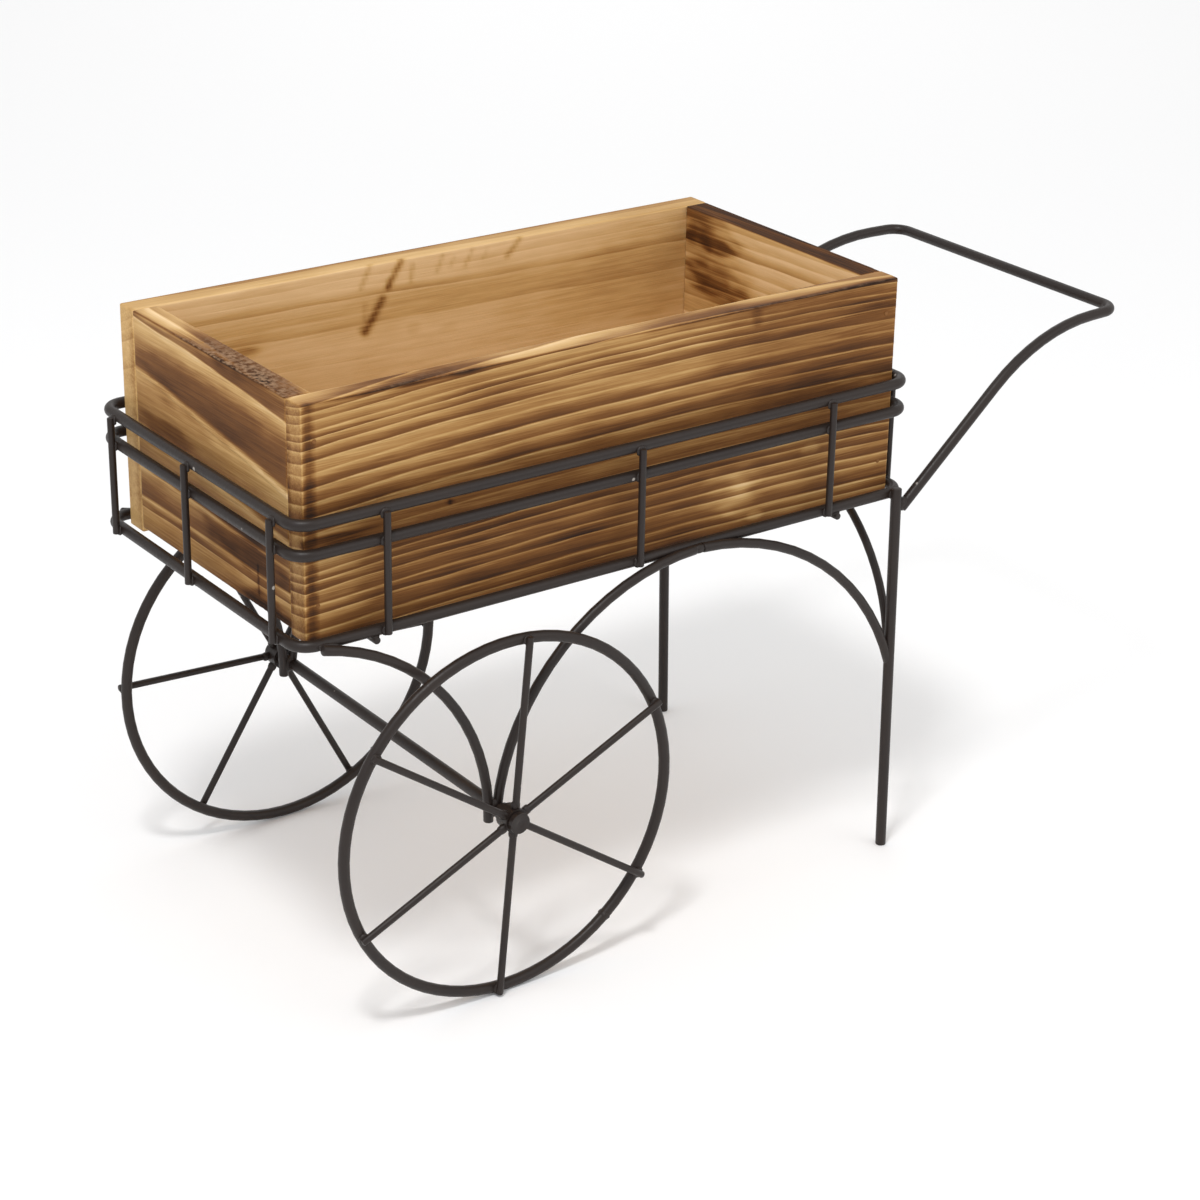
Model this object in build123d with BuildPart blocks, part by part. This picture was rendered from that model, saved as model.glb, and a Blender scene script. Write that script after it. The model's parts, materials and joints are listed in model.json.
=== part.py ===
from build123d import *
from math import acos, asin, degrees, radians, sqrt, tan
import os

# A decorative wagon planter: a pine box that stands in a bent wire frame on two spoked wheels and two legs.
# Millimetres. +X points to the handle, -Y is the left side, +Z is up. The origin is on the floor, under the
# middle of the overall length and width.

os.makedirs("parts", exist_ok=True)

# Overall length, from the front uprights to the grip of the handle
overall_length = 456.3

# Wire and rod gauges
heavy_wire = 5.0
brace_wire = 4.4
cross_brace_wire = 3.8
light_wire = 3.2
axle_diameter = 5.4

# Depth that one wire sinks into another where the two are welded
weld_bite = 0.3

# Wire basket, on the centre lines of its rails
rail_length = 315.5
rail_width = 164.8
rail_corner = 8.5
rail_heights = {"bottom": 180.0, "middle": 219.2, "top": 232.2}
side_upright_places = {"front": -120.0, "middle": 6.0, "rear": 110.0}
end_upright_places = {"left": -68.0, "middle": 2.5, "right": 68.0}
upright_tail = 1.4
cross_wire_places = {"front": -124.5, "rear": 117.0}
cross_wire_length = 170.0

# Planter box
box_length = 305.0
box_width = 152.0
wall_height = 101.6
board = 12.0
eased_edge = 0.8
bottom_panel = 2.4
bottom_panel_inset = 4.0
box_front_gap = 4.4
box_seat_gap = 0.2

# Nails of the box
corner_nail_length = 30.0
corner_nail_spacing = 35.0
corner_nail_count = 3
corner_nail_shank = 1.2
corner_nail_head = 1.8
bottom_nail_length = 14.0
bottom_nail_spacing = 110.0
bottom_nail_edge = 8.0
bottom_nails_per_side = 3
bottom_nails_per_end = 2
bottom_nail_shank = 1.2
bottom_nail_head = 3.0
nail_head_height = 0.8

# Wheels and axle
rim_radius = 81.7
axle_place = -67.3
wheel_y = 96.0
hub_diameter = 11.2
hub_length = 7.6
hub_round = 0.6
hub_neck_diameter = 7.8
hub_neck_length = 3.8
hub_neck_y = 90.2
hub_bore_clearance = 0.05
spoke_count = 6
spoke_reach = 83.6
spoke_root = 1.0
spoke_turns = {"left": 25.0, "right": 57.4}
cap_gap = 0.3
cap_diameter = 9.4
cap_round = 1.4
cap_height = 2.4
cap_cover = 0.8

# Braces under the bottom rail
forward_brace_radius = 100.0
forward_brace_drop = 2.6
forward_brace_start = -1.5
forward_brace_end = 78.0
rear_brace_radius = 107.0
rear_brace_end = 92.0
leg_brace_radius = 122.5
leg_brace_place = 34.6
leg_brace_start = 88.0
cross_brace_place = 152.5
cross_brace_inner_y = 2.5

# Legs and handle
leg_place = 149.0
leg_lean = 4.0
leg_above_rail = 3.5
foot_chamfer = 0.4
handle_height = 241.5
handle_angle = 39.0
handle_bend = 99.0
handle_corner = 9.0
handle_run_in = 8.9
handle_foot_drop = 6.5
handle_foot_start = 3.4

# Places that follow from the sizes
sides = {"left": -1, "right": 1}
upright_stand_off = heavy_wire / 2 + light_wire / 2 - weld_bite
rail_front_x = -overall_length / 2 + light_wire / 2 + upright_stand_off
rail_rear_x = rail_front_x + rail_length
rail_y = rail_width / 2
rail_z = rail_heights["bottom"]
box_x = rail_front_x + heavy_wire / 2 + box_front_gap + box_length / 2
axle_x = box_x + axle_place
axle_z = rim_radius + heavy_wire / 2
cross_wire_z = rail_z - heavy_wire / 2 - light_wire / 2 + weld_bite
panel_z = cross_wire_z + light_wire / 2 + box_seat_gap
wall_top_z = panel_z + wall_height
brace_y = rail_y + heavy_wire / 2 + brace_wire / 2 - weld_bite

# Each leg stands against the outside of the rail's rounded corner
leg_top_x = box_x + leg_place
leg_top_z = rail_z + leg_above_rail
rail_corner_x = rail_rear_x - rail_corner
rail_corner_y = rail_y - rail_corner
leg_seat = rail_corner + heavy_wire - weld_bite
leg_y = rail_corner_y + sqrt(leg_seat**2 - (leg_top_x - rail_corner_x) ** 2)


def save(piece, name):
    """Label a finished piece and write it to its own file."""
    piece.part.label = name
    export_step(piece.part, f"parts/{name}.step")


# Rails: three loops of heavy wire with rounded corners
rails = {}
for rail_name, height in rail_heights.items():
    with BuildPart() as rail:
        with BuildLine(Plane.XY.offset(height)) as loop:
            FilletPolyline(
                (rail_front_x, -rail_y),
                (rail_rear_x, -rail_y),
                (rail_rear_x, rail_y),
                (rail_front_x, rail_y),
                radius=rail_corner,
                close=True,
            )
        with BuildSketch(Plane(origin=loop.line @ 0, z_dir=loop.line % 0)):
            Circle(heavy_wire / 2)
        sweep(path=loop.wire())
    save(rail, f"{rail_name}_rail")
    rails[rail_name] = rail.part

# Legs: straight wires that lean back a little, cut level at the foot
legs = {}
for side, sign in sides.items():
    leg_top = Vector(leg_top_x, sign * leg_y, leg_top_z)
    leg_foot = Vector(leg_top_x + leg_lean, sign * leg_y, 0)
    leg_line = leg_foot - leg_top
    with BuildPart() as leg:
        with BuildSketch(Plane(origin=leg_top, z_dir=leg_line)):
            Circle(heavy_wire / 2)
        extrude(amount=leg_line.length + heavy_wire)
        split(bisect_by=Plane.XY, keep=Keep.TOP)
        chamfer(leg.faces().sort_by(Axis.Z)[0].edges(), foot_chamfer)
        add(rails["bottom"], mode=Mode.SUBTRACT)
    save(leg, f"leg_{side}")
    legs[side] = leg.part

# Axle: a straight rod with eased ends, long enough to carry the end caps
hub_inner_y = hub_neck_y + hub_neck_length
hub_outer_y = hub_inner_y + hub_length
cap_y = hub_outer_y + cap_gap
axle_end_y = cap_y + cap_height - cap_cover
with BuildPart() as axle:
    with BuildSketch(Plane.XZ.offset(-axle_end_y)):
        with Locations((axle_x, axle_z)):
            Circle(axle_diameter / 2)
    extrude(amount=2 * axle_end_y)
    chamfer(axle.edges().filter_by(GeomType.CIRCLE), eased_edge / 2)
save(axle, "axle")

# Braces in the plane outside each long rail: two from the axle and one from the leg
forward_brace_x = axle_x - axle_diameter / 2 - brace_wire / 2 + weld_bite - forward_brace_radius
forward_brace_z = axle_z - forward_brace_drop
rear_brace_z = rail_z - rear_brace_radius
rear_brace_rise = axle_z + axle_diameter / 2 - rear_brace_z
rear_brace_x = axle_x + sqrt(rear_brace_radius**2 - rear_brace_rise**2)
rear_brace_foot = 180 - degrees(asin((axle_z - rear_brace_z) / rear_brace_radius))
leg_brace_x = box_x + leg_brace_place
leg_brace_z = rail_z - leg_brace_radius
leg_brace_foot = degrees(acos((leg_top_x + leg_lean / 2 - leg_brace_x) / leg_brace_radius))
for side, sign in sides.items():
    brace_plane = Plane.XZ.offset(-sign * brace_y)
    with BuildPart() as forward_brace:
        with BuildLine(brace_plane) as arc:
            CenterArc(
                (forward_brace_x, forward_brace_z),
                forward_brace_radius,
                forward_brace_start,
                forward_brace_end - forward_brace_start,
            )
        with BuildSketch(Plane(origin=arc.line @ 0, z_dir=arc.line % 0)):
            Circle(brace_wire / 2)
        sweep(path=arc.line)
        add(axle.part, mode=Mode.SUBTRACT)
        add(rails["bottom"], mode=Mode.SUBTRACT)
    save(forward_brace, f"forward_brace_{side}")

    with BuildPart() as rear_brace:
        with BuildLine(brace_plane) as arc:
            CenterArc(
                (rear_brace_x, rear_brace_z),
                rear_brace_radius,
                rear_brace_foot,
                rear_brace_end - rear_brace_foot,
            )
        with BuildSketch(Plane(origin=arc.line @ 0, z_dir=arc.line % 0)):
            Circle(brace_wire / 2)
        sweep(path=arc.line)
        add(axle.part, mode=Mode.SUBTRACT)
        add(rails["bottom"], mode=Mode.SUBTRACT)
    save(rear_brace, f"rear_brace_{side}")

    with BuildPart() as leg_brace:
        with BuildLine(brace_plane) as arc:
            CenterArc(
                (leg_brace_x, leg_brace_z),
                leg_brace_radius,
                leg_brace_start,
                leg_brace_foot - leg_brace_start,
            )
        with BuildSketch(Plane(origin=arc.line @ 0, z_dir=arc.line % 0)):
            Circle(brace_wire / 2)
        sweep(path=arc.line)
        add(legs[side], mode=Mode.SUBTRACT)
        add(rails["bottom"], mode=Mode.SUBTRACT)
    save(leg_brace, f"leg_brace_{side}")

# Arcs across the rear: each runs from the inside of a leg up to the middle of the rear rail
cross_brace_x = box_x + cross_brace_place
cross_brace_seat = heavy_wire / 2 + cross_brace_wire / 2 - weld_bite
leg_mid_x = leg_top_x + leg_lean / 2
cross_brace_outer_y = leg_y - sqrt(cross_brace_seat**2 - (cross_brace_x - leg_mid_x) ** 2)
cross_brace_top_z = rail_z - sqrt(cross_brace_seat**2 - (rail_rear_x - cross_brace_x) ** 2)
cross_brace_radius = cross_brace_outer_y - cross_brace_inner_y
for side, sign in sides.items():
    with BuildPart() as cross_brace:
        with BuildLine(Plane.YZ.offset(cross_brace_x)) as arc:
            CenterArc(
                (sign * cross_brace_inner_y, cross_brace_top_z - cross_brace_radius),
                cross_brace_radius,
                90,
                -sign * 90,
            )
        with BuildSketch(Plane(origin=arc.line @ 0, z_dir=arc.line % 0)):
            Circle(cross_brace_wire / 2)
        sweep(path=arc.line)
        add(legs[side], mode=Mode.SUBTRACT)
        add(rails["bottom"], mode=Mode.SUBTRACT)
    save(cross_brace, f"cross_brace_{side}")

# Uprights outside the rails, three on each side of the basket
upright_places = {}
for place, distance in side_upright_places.items():
    for side, sign in sides.items():
        upright_places[f"{side}_upright_{place}"] = (box_x + distance, sign * (rail_y + upright_stand_off))
for place, distance in end_upright_places.items():
    upright_places[f"front_upright_{place}"] = (rail_front_x - upright_stand_off, distance)
    upright_places[f"rear_upright_{place}"] = (rail_rear_x + upright_stand_off, distance)
for upright_name, place in upright_places.items():
    with BuildPart() as upright:
        with BuildSketch(Plane.XY.offset(rail_z - upright_tail)):
            with Locations(place):
                Circle(light_wire / 2)
        extrude(amount=rail_heights["top"] - rail_z + upright_tail)
        for rail_part in rails.values():
            add(rail_part, mode=Mode.SUBTRACT)
    save(upright, upright_name)

# Cross wires under the bottom rail, which carry the box
for place, distance in cross_wire_places.items():
    with BuildPart() as cross_wire:
        with BuildSketch(Plane.XZ.offset(-cross_wire_length / 2)):
            with Locations((box_x + distance, cross_wire_z)):
                Circle(light_wire / 2)
        extrude(amount=cross_wire_length)
        add(rails["bottom"], mode=Mode.SUBTRACT)
    save(cross_wire, f"cross_wire_{place}")

# Handle: one wire that rises from each leg, bends level, runs in a little and turns across as the grip
grip_x = overall_length / 2 - heavy_wire / 2
grip_y = leg_y - handle_run_in
handle_foot_z = rail_z - handle_foot_drop
handle_foot_x = leg_top_x + handle_foot_start
knee_x = handle_foot_x + (handle_height - handle_foot_z) / tan(radians(handle_angle))
knee_y = leg_y - handle_run_in * (knee_x - handle_foot_x) / (grip_x - handle_foot_x)
with BuildPart() as handle:
    with BuildLine() as route:
        FilletPolyline(
            (handle_foot_x, -leg_y, handle_foot_z),
            (knee_x, -knee_y, handle_height),
            (grip_x, -grip_y, handle_height),
            (grip_x, grip_y, handle_height),
            (knee_x, knee_y, handle_height),
            (handle_foot_x, leg_y, handle_foot_z),
            radius=[handle_bend, handle_corner, handle_corner, handle_bend],
        )
    with BuildSketch(Plane(origin=route.line @ 0, z_dir=route.line % 0)):
        Circle(heavy_wire / 2)
    sweep(path=route.wire())
    for leg_part in legs.values():
        add(leg_part, mode=Mode.SUBTRACT)
save(handle, "handle")

# Wheels: a hub whose narrower neck keeps it off the braces, a wire hoop, and spokes on its outer face
spoke_y = wheel_y + heavy_wire / 2 + light_wire / 2 - weld_bite
spoke_start = hub_diameter / 2 - spoke_root
hub_bore = axle_diameter / 2 + hub_bore_clearance
for side, sign in sides.items():
    with BuildPart() as hub:
        with BuildSketch(Plane.XZ.offset(-sign * hub_inner_y)):
            with Locations((axle_x, axle_z)):
                Circle(hub_diameter / 2)
        extrude(amount=-sign * hub_length)
        fillet(hub.edges().filter_by(GeomType.CIRCLE), hub_round)
        with BuildSketch(Plane.XZ.offset(-sign * hub_neck_y)):
            with Locations((axle_x, axle_z)):
                Circle(hub_neck_diameter / 2)
        extrude(amount=-sign * hub_neck_length)
        with BuildSketch(Plane.XZ.offset(-sign * hub_neck_y)):
            with Locations((axle_x, axle_z)):
                Circle(hub_bore)
        extrude(amount=-sign * (hub_neck_length + hub_length), mode=Mode.SUBTRACT)
    save(hub, f"hub_{side}")

    with BuildPart() as rim:
        with BuildSketch(Plane.XY.offset(axle_z)):
            with Locations((axle_x + rim_radius, sign * wheel_y)):
                Circle(heavy_wire / 2)
        revolve(axis=Axis((axle_x, sign * wheel_y, axle_z), (0, 1, 0)))
    save(rim, f"rim_{side}")

    for number in range(spoke_count):
        spoke_angle = spoke_turns[side] + number * 360 / spoke_count
        spoke_line = Vector(1, 0, 0).rotate(Axis.Y, -spoke_angle)
        spoke_foot = Vector(axle_x, sign * spoke_y, axle_z) + spoke_line * spoke_start
        with BuildPart() as spoke:
            with BuildSketch(Plane(origin=spoke_foot, z_dir=spoke_line)):
                Circle(light_wire / 2)
            extrude(amount=spoke_reach - spoke_start)
            add(hub.part, mode=Mode.SUBTRACT)
            add(rim.part, mode=Mode.SUBTRACT)
        save(spoke, f"spoke_{side}_{number + 1}")

    # Push-on cap with a rounded cover, over the end of the axle
    with BuildPart() as cap:
        with BuildSketch(Plane.XZ.offset(-sign * cap_y)):
            with Locations((axle_x, axle_z)):
                Circle(cap_diameter / 2)
        extrude(amount=-sign * cap_height)
        fillet(cap.edges().sort_by(Axis.Y)[0 if sign < 0 else -1], cap_round)
        add(axle.part, mode=Mode.SUBTRACT)
    save(cap, f"axle_cap_{side}")

# Nails of the corners: each goes through a side board into the end of an end board
end_board_x = box_length / 2 - board / 2
with BuildPart() as corner_nails:
    for side, sign in sides.items():
        with BuildSketch(Plane.XZ.offset(-sign * box_width / 2)):
            with Locations((box_x, wall_top_z - wall_height / 2)):
                with GridLocations(2 * end_board_x, corner_nail_spacing, 2, corner_nail_count):
                    Circle(corner_nail_head / 2)
        extrude(amount=sign * nail_head_height)
        with BuildSketch(Plane.XZ.offset(-sign * (box_width / 2 - nail_head_height))):
            with Locations((box_x, wall_top_z - wall_height / 2)):
                with GridLocations(2 * end_board_x, corner_nail_spacing, 2, corner_nail_count):
                    Circle(corner_nail_shank / 2)
        extrude(amount=sign * (corner_nail_length - nail_head_height))
save(corner_nails, "corner_nails")

# Nails of the bottom panel: heads flush with its underside, along the four walls
long_nail_y = box_width / 2 - bottom_nail_edge
end_nail_x = box_length / 2 - bottom_nail_edge
with BuildPart() as bottom_nails:
    for height, radius, length in (
        (panel_z, bottom_nail_head / 2, nail_head_height),
        (panel_z + nail_head_height, bottom_nail_shank / 2, bottom_nail_length - nail_head_height),
    ):
        with BuildSketch(Plane.XY.offset(height)):
            with Locations((box_x, 0)):
                with GridLocations(bottom_nail_spacing, 2 * long_nail_y, bottom_nails_per_side, 2):
                    Circle(radius)
                with GridLocations(2 * end_nail_x, bottom_nail_spacing / 2, 2, bottom_nails_per_end):
                    Circle(radius)
        extrude(amount=length)
save(bottom_nails, "bottom_nails")

# Bottom panel, nailed under the end boards and flush into a rebate of the side boards
with BuildPart() as panel:
    with BuildSketch(Plane.XY.offset(panel_z)):
        with Locations((box_x, 0)):
            Rectangle(box_length - 2 * bottom_panel_inset, box_width - 2 * bottom_panel_inset)
    extrude(amount=bottom_panel)
    add(bottom_nails.part, mode=Mode.SUBTRACT)
save(panel, "bottom_panel")

# Boards of the box: the long sides cover the ends of the short ones, which stand on the panel
side_board_y = box_width / 2 - board / 2
end_board_z = panel_z + bottom_panel
board_places = {
    "side_board_left": (0, -side_board_y, panel_z, box_length, board),
    "side_board_right": (0, side_board_y, panel_z, box_length, board),
    "end_board_front": (-end_board_x, 0, end_board_z, board, box_width - 2 * board),
    "end_board_rear": (end_board_x, 0, end_board_z, board, box_width - 2 * board),
}
for board_name, (along, across, bottom, length, width) in board_places.items():
    with BuildPart() as wall_board:
        with BuildSketch(Plane.XY.offset(bottom)):
            with Locations((box_x + along, across)):
                Rectangle(length, width)
        extrude(amount=wall_top_z - bottom)
        fillet(wall_board.edges(), eased_edge)
        add(corner_nails.part, mode=Mode.SUBTRACT)
        add(bottom_nails.part, mode=Mode.SUBTRACT)
        add(panel.part, mode=Mode.SUBTRACT)
    save(wall_board, board_name)
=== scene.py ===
# %% [markdown]
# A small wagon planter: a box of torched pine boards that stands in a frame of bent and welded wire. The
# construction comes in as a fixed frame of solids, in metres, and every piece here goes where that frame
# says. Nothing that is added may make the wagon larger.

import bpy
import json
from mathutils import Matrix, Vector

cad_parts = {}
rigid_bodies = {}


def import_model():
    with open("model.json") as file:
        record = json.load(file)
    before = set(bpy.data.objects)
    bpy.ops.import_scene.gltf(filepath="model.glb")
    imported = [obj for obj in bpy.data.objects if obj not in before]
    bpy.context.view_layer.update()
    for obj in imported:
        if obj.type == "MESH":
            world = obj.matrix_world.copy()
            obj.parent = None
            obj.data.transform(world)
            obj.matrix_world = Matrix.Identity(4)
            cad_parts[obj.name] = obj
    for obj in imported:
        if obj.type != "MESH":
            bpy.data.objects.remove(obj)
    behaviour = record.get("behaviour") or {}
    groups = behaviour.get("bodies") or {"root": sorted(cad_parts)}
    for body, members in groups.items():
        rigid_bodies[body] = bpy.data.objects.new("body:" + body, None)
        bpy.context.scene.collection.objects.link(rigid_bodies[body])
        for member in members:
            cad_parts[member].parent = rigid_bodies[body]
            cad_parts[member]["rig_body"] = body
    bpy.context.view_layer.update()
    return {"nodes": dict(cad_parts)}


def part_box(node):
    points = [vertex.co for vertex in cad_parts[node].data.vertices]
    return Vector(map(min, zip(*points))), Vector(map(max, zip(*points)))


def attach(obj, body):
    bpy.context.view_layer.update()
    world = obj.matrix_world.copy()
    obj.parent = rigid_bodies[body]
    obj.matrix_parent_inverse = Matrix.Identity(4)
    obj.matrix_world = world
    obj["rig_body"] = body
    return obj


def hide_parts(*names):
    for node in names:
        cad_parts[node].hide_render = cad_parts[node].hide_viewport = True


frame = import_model()

import json
import math

import bmesh
import bpy
from mathutils import Matrix, Vector, noise

MM = 0.001
X, Y, Z = Vector((1, 0, 0)), Vector((0, 1, 0)), Vector((0, 0, 1))


def in_mm(lengths):
    """Lengths in millimetres, rounded for printing."""
    return [round(length / MM, 1) for length in lengths]


# %% [markdown]
# The photograph was taken from above the box, from in front of the wheels and to the left. A long lens keeps
# the edges of the box nearly parallel, as they are there. The camera is turned a degree about its own axis,
# because the photograph isn't quite level either.

# %% Camera
CAMERA_PLACE = Vector((-745.25, -1003.4, 671.0)) * MM
CAMERA_AIM = Vector((-15.75, -0.2, 120.9)) * MM
CAMERA_ROLL = math.radians(1.09)
CAMERA_LENS = 87.7

bpy.ops.object.select_all(action="DESELECT")
bpy.ops.object.camera_add(location=CAMERA_PLACE)
camera = bpy.context.object
camera.data.lens = CAMERA_LENS
camera.data.dof.use_dof = False
camera_turn = (CAMERA_AIM - CAMERA_PLACE).to_track_quat("-Z", "Y").to_matrix()
camera.rotation_euler = (camera_turn @ Matrix.Rotation(CAMERA_ROLL, 3, "Z")).to_euler()
bpy.context.scene.camera = camera
print("camera", round((CAMERA_AIM - CAMERA_PLACE).length, 3), "m from the wagon")

# %% [markdown]
# The frame of the wagon is wire that was fed out of a coil, bent round pegs and cut off. A mesh can be made
# in the same way: a disc is the wire's section, an extrusion feeds it forward, and a spin bends it round a
# peg. The end face stays selected all the while, so each step goes on from the last. A swept curve would give
# the same tube, but this keeps each ring of vertices square to the wire and leaves an end face that can be
# rounded like a cut one. The spin operator turns against the right-hand rule, so it is given the angle with
# its sign changed.

# %% A wire that is fed and bent
WIRE_SIDES = 20
FEED_STEP = 9 * MM
BEND_STEP = math.radians(5)
FEWEST_BEND_STEPS = 3
CUT_ROUNDING = 0.45 * MM
CUT_ROUNDING_STEPS = 2
WIRE_CREASE = math.radians(40)
SAME_PLACE = 0.02 * MM


def closed_up(piece, crease):
    """Leave edit mode with doubles merged, faces outwards, and edges smooth below the crease angle."""
    bpy.ops.mesh.select_all(action="SELECT")
    bpy.ops.mesh.remove_doubles(threshold=SAME_PLACE)
    bpy.ops.mesh.normals_make_consistent(inside=False)
    bpy.ops.object.mode_set(mode="OBJECT")
    bpy.ops.object.shade_smooth_by_angle(angle=crease)
    return piece


class BentWire:
    """A wire under way: its last face is selected in edit mode, at place, and it goes on along heading."""

    def __init__(self, name, radius, place, heading):
        bpy.ops.object.select_all(action="DESELECT")
        bpy.ops.mesh.primitive_circle_add(
            vertices=WIRE_SIDES,
            radius=radius,
            fill_type="NGON",
            location=place,
            rotation=heading.to_track_quat("Z", "Y").to_euler(),
        )
        self.piece = bpy.context.object
        self.piece.name = name
        self.place = Vector(place)
        self.heading = heading.normalized()
        bpy.ops.object.transform_apply()
        bpy.ops.object.mode_set(mode="EDIT")
        bpy.ops.mesh.select_all(action="SELECT")

    def feed(self, length):
        """Push the wire straight on."""
        steps = max(1, round(length / FEED_STEP))
        step = self.heading * (length / steps)
        for _ in range(steps):
            bpy.ops.mesh.extrude_region_move(TRANSFORM_OT_translate={"value": step})
        self.place = self.place + self.heading * length

    def bend(self, axis, angle, peg_radius):
        """Bend the wire round a peg, by an angle about an axis."""
        peg = self.place + axis.cross(self.heading) * math.copysign(peg_radius, angle)
        steps = max(FEWEST_BEND_STEPS, round(abs(angle) / BEND_STEP))
        bpy.ops.mesh.spin(steps=steps, angle=-angle, center=peg, axis=axis)
        turn = Matrix.Rotation(angle, 3, axis)
        self.place = peg + turn @ (self.place - peg)
        self.heading = turn @ self.heading

    def bend_to(self, heading, peg_radius):
        """Bend until the wire goes along a new heading."""
        axis = self.heading.cross(heading).normalized()
        self.bend(axis, self.heading.angle(heading), peg_radius)

    def close(self):
        """Join the last face to the first one, for a hoop."""
        bpy.ops.mesh.select_face_by_sides(number=WIRE_SIDES, type="EQUAL", extend=False)
        bpy.ops.mesh.delete(type="FACE")
        return closed_up(self.piece, WIRE_CREASE)

    def cut(self):
        """Round both ends a little, as the coat does on cut wire."""
        bpy.ops.mesh.select_face_by_sides(number=WIRE_SIDES, type="EQUAL", extend=False)
        bpy.ops.mesh.bevel(offset=CUT_ROUNDING, segments=CUT_ROUNDING_STEPS, affect="EDGES")
        return closed_up(self.piece, WIRE_CREASE)


print("wire has", WIRE_SIDES, "sides and is bent in steps of", round(math.degrees(BEND_STEP)), "degrees")

# %% [markdown]
# Three hoops of heavy wire go round the box. Each starts in the middle of the front end, where its two ends
# are butted and welded, and turns four tight corners.

# %% Rails
RAILS = ("bottom_rail", "middle_rail", "top_rail")
RAIL_CORNER = 8.5 * MM

wires = {}
for node in RAILS:
    low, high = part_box(node)
    rail_radius = (high.z - low.z) / 2
    half_width = (high.y - low.y) / 2 - rail_radius
    length = high.x - low.x - 2 * rail_radius
    seam = Vector((low.x + rail_radius, 0, (low.z + high.z) / 2))
    wire = BentWire(f"{node}_wire", rail_radius, seam, -Y)
    wire.feed(half_width - RAIL_CORNER)
    for run in (length, 2 * half_width, length):
        wire.bend(Z, math.pi / 2, RAIL_CORNER)
        wire.feed(run - 2 * RAIL_CORNER)
    wire.bend(Z, math.pi / 2, RAIL_CORNER)
    wire.feed(half_width - RAIL_CORNER)
    wires[node] = wire.close()
    print(node, "hoop", in_mm((length, 2 * half_width)), "mm")

# %% [markdown]
# Twelve short uprights of thin wire stand outside the hoops. They are all alike, so one is made and copied. A
# copy made by the duplicate operator has a mesh of its own, and its move is applied, so that its object stays
# at the origin.

# %% Uprights
def select_only(piece):
    """Select a piece alone, for the operators that come next."""
    bpy.ops.object.select_all(action="DESELECT")
    piece.select_set(True)
    bpy.context.view_layer.objects.active = piece


def copied(piece, name, shift=(0, 0, 0)):
    """A copy with a mesh of its own, moved by a shift."""
    select_only(piece)
    bpy.ops.object.duplicate()
    copy = bpy.context.object
    copy.name = name
    copy.location = shift
    bpy.ops.object.transform_apply()
    return copy


def middle(node):
    """The middle of a node's box."""
    low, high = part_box(node)
    return (low + high) / 2


upright_nodes = [node for node in frame["nodes"] if "_upright_" in node]
first_upright = "left_upright_front"
low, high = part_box(first_upright)
upright_foot = Vector(((low.x + high.x) / 2, (low.y + high.y) / 2, low.z))
wire = BentWire(f"{first_upright}_wire", (high.x - low.x) / 2, upright_foot, Z)
wire.feed(high.z - low.z)
wires[first_upright] = wire.cut()
for node in upright_nodes:
    if node != first_upright:
        shift = middle(node) - middle(first_upright)
        wires[node] = copied(wires[first_upright], f"{node}_wire", shift)
print(len(upright_nodes), "uprights", in_mm(high - low), "mm")

# %% [markdown]
# The axle and the two cross wires under the box are straight wires across the wagon, each as long as its
# solid.

# %% Axle and cross wires
CROSS_WIRES = ("cross_wire_front", "cross_wire_rear")

for node in ("axle", *CROSS_WIRES):
    low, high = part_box(node)
    start = Vector(((low.x + high.x) / 2, low.y, (low.z + high.z) / 2))
    wire = BentWire(f"{node}_wire", (high.x - low.x) / 2, start, Y)
    wire.feed(high.y - low.y)
    wires[node] = wire.cut()
    print(node, in_mm(high - low), "mm")

# %% [markdown]
# The left half of the under frame is made first: a leg that leans back a little and is sawn level at the
# floor, three arcs in a plane outside the rails, and an arc across the rear. The right half is its mirror
# image. A negative scale turns a mesh inside out, so what is mirrored gets its normals recalculated.

# %% Legs
def mirror(piece):
    """Turn a piece into its mirror image across the wagon."""
    select_only(piece)
    piece.scale.y = -1
    bpy.ops.object.transform_apply()
    bpy.ops.object.mode_set(mode="EDIT")
    bpy.ops.mesh.select_all(action="SELECT")
    bpy.ops.mesh.normals_make_consistent(inside=False)
    bpy.ops.object.mode_set(mode="OBJECT")
    return piece


low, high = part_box("leg_left")
leg_radius = (high.y - low.y) / 2
leg_y = (low.y + high.y) / 2
leg_top = Vector((low.x + leg_radius, leg_y, high.z))
leg_foot = Vector((high.x - leg_radius, leg_y, 0))
wire = BentWire("leg_left_wire", leg_radius, leg_top, leg_foot - leg_top)
wire.feed((leg_foot - leg_top).length + leg_radius)
bpy.ops.mesh.select_all(action="SELECT")
bpy.ops.mesh.bisect(plane_co=(0, 0, 0), plane_no=Z, use_fill=True, clear_inner=True)
wires["leg_left"] = wire.cut()
wires["leg_right"] = mirror(copied(wires["leg_left"], "leg_right_wire"))
print("legs", in_mm(wires["leg_left"].dimensions), "mm")

# %% Braces
# Each arc of a side: the x and z of its centre and its radius, in mm, and the angles it runs between.
BRACE_ARCS = {
    "forward_brace": ((-235.25, 81.6), 100.0, -1.5, 78.0),
    "rear_brace": ((-24.56, 73.0), 107.0, 173.99, 92.0),
    "leg_brace": ((-28.75, 57.5), 122.5, 88.0, 18.2),
}
CROSS_BRACE_RADIUS = 1.9 * MM
CROSS_BRACE_TOP = Vector((89.15, -2.5, 178.04)) * MM
CROSS_BRACE_BEND = 80.71 * MM


def ray(turn):
    """The direction at an angle in the wagon's side view, measured from the rear upwards."""
    return Vector((math.cos(turn), 0, math.sin(turn)))


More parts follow.
